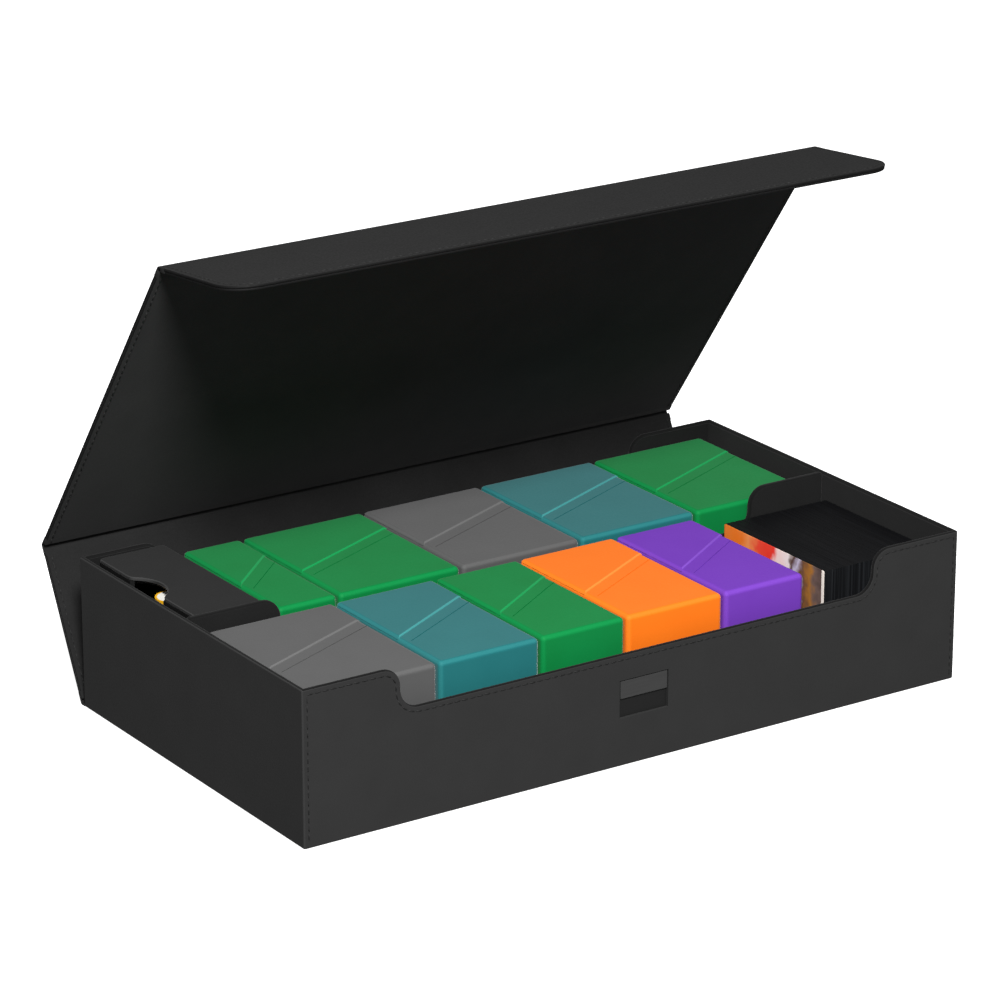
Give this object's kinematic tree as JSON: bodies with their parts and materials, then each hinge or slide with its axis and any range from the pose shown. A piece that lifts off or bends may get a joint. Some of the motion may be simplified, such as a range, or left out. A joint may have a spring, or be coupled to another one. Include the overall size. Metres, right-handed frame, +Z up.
{
  "type": "card storage box",
  "caption": "Long low card storage box in wrapped board with a folding flap lid, a divider between rows of lift-out inner boxes, an accessory tray and sleeved cards.",
  "frame": {"origin": "middle of the box's underside", "axes": "+X along the front to the right, +Y to the back where the lid hinges, +Z up"},
  "size_m": [0.425, 0.2771, 0.2837],
  "materials": {
    "black_leatherette": "fine grained matte leatherette over board",
    "black_microfibre": "short napped microfibre lining",
    "catch_dark": "matte leatherette",
    "catch_bar": "matte leatherette, a little paler",
    "magnet": "nickel plated bar",
    "tray_leatherette": "matte leatherette",
    "green_leatherette": "fine grained matte leatherette",
    "teal_leatherette": "fine grained matte leatherette",
    "grey_leatherette": "fine grained matte leatherette",
    "orange_leatherette": "fine grained matte leatherette",
    "purple_leatherette": "fine grained matte leatherette",
    "card_face": "printed card in a clear sleeve",
    "black_sleeve": "matte card sleeves"
  },
  "bodies": {
    "box": {"base_board": "black_leatherette", "front_wall": "black_leatherette", "back_wall": "black_leatherette", "left_wall": "black_leatherette", "right_wall": "black_leatherette", "row_divider": "black_microfibre", "front_lining": "black_microfibre", "back_lining": "black_microfibre", "left_lining": "black_microfibre", "right_lining": "black_microfibre", "front_row_floor": "black_microfibre", "back_row_floor": "black_microfibre", "catch_liner": "catch_dark", "catch_bar": "catch_bar", "keeper_magnets": "magnet", "spine_hinge": "black_leatherette"},
    "spine": {"spine_panel": "black_leatherette", "spine_lining": "black_microfibre", "lid_hinge": "black_leatherette"},
    "lid": {"lid_panel": "black_leatherette", "lid_lining": "black_microfibre", "flap_hinge": "black_leatherette"},
    "flap": {"flap_panel": "black_leatherette", "flap_lining": "black_microfibre", "flap_magnets": "magnet"},
    "tray": {"tray_box": "tray_leatherette"},
    "tray_lid": {"tray_lid": "tray_leatherette"},
    "front_grey_box": {"front_grey_case": "grey_leatherette", "front_grey_cover": "grey_leatherette"},
    "front_teal_box": {"front_teal_case": "teal_leatherette", "front_teal_cover": "teal_leatherette"},
    "front_green_box": {"front_green_case": "green_leatherette", "front_green_cover": "green_leatherette"},
    "front_orange_box": {"front_orange_case": "orange_leatherette", "front_orange_cover": "orange_leatherette"},
    "front_purple_box": {"front_purple_case": "purple_leatherette", "front_purple_cover": "purple_leatherette"},
    "back_thin_green_box": {"back_thin_green_case": "green_leatherette", "back_thin_green_cover": "green_leatherette"},
    "back_green_box": {"back_green_case": "green_leatherette", "back_green_cover": "green_leatherette"},
    "back_grey_box": {"back_grey_case": "grey_leatherette", "back_grey_cover": "grey_leatherette"},
    "back_teal_box": {"back_teal_case": "teal_leatherette", "back_teal_cover": "teal_leatherette"},
    "back_end_green_box": {"back_end_green_case": "green_leatherette", "back_end_green_cover": "green_leatherette"},
    "cards": {"front_card": "card_face", "sleeved_cards": "black_sleeve"}
  },
  "joints": [
    {"name": "spine_fold", "type": "hinge", "parent": "box", "child": "spine", "pos_m": [0, 0.1193, 0.0015], "axis": [-1, 0, 0], "range_deg": [-26.5, 63.5]},
    {"name": "lid_fold", "type": "hinge", "parent": "spine", "child": "lid", "pos_m": [0, 0.15915, 0.08142], "axis": [-1, 0, 0], "range_deg": [-27.9, 62.1]},
    {"name": "flap_fold", "type": "hinge", "parent": "lid", "child": "flap", "pos_m": [0, 0.02025, 0.27542], "axis": [-1, 0, 0], "range_deg": [-40.8, 49.2]},
    {"name": "tray_lift", "type": "slide", "parent": "box", "child": "tray", "axis": [0, 0, 1], "range_m": [0, 0.05]},
    {"name": "tray_lid_lift", "type": "slide", "parent": "tray", "child": "tray_lid", "axis": [0, 0, 1], "range_m": [0, 0.045]},
    {"name": "front_grey_lift", "type": "slide", "parent": "box", "child": "front_grey_box", "axis": [0, 0, 1], "range_m": [0, 0.092]},
    {"name": "front_teal_lift", "type": "slide", "parent": "box", "child": "front_teal_box", "axis": [0, 0, 1], "range_m": [0, 0.092]},
    {"name": "front_green_lift", "type": "slide", "parent": "box", "child": "front_green_box", "axis": [0, 0, 1], "range_m": [0, 0.092]},
    {"name": "front_orange_lift", "type": "slide", "parent": "box", "child": "front_orange_box", "axis": [0, 0, 1], "range_m": [0, 0.092]},
    {"name": "front_purple_lift", "type": "slide", "parent": "box", "child": "front_purple_box", "axis": [0, 0, 1], "range_m": [0, 0.092]},
    {"name": "back_thin_green_lift", "type": "slide", "parent": "box", "child": "back_thin_green_box", "axis": [0, 0, 1], "range_m": [0, 0.058]},
    {"name": "back_green_lift", "type": "slide", "parent": "box", "child": "back_green_box", "axis": [0, 0, 1], "range_m": [0, 0.058]},
    {"name": "back_grey_lift", "type": "slide", "parent": "box", "child": "back_grey_box", "axis": [0, 0, 1], "range_m": [0, 0.058]},
    {"name": "back_teal_lift", "type": "slide", "parent": "box", "child": "back_teal_box", "axis": [0, 0, 1], "range_m": [0, 0.058]},
    {"name": "back_end_green_lift", "type": "slide", "parent": "box", "child": "back_end_green_box", "axis": [0, 0, 1], "range_m": [0, 0.058]},
    {"name": "cards_lift", "type": "slide", "parent": "box", "child": "cards", "axis": [0, 0, 1], "range_m": [0, 0.092]}
  ]
}
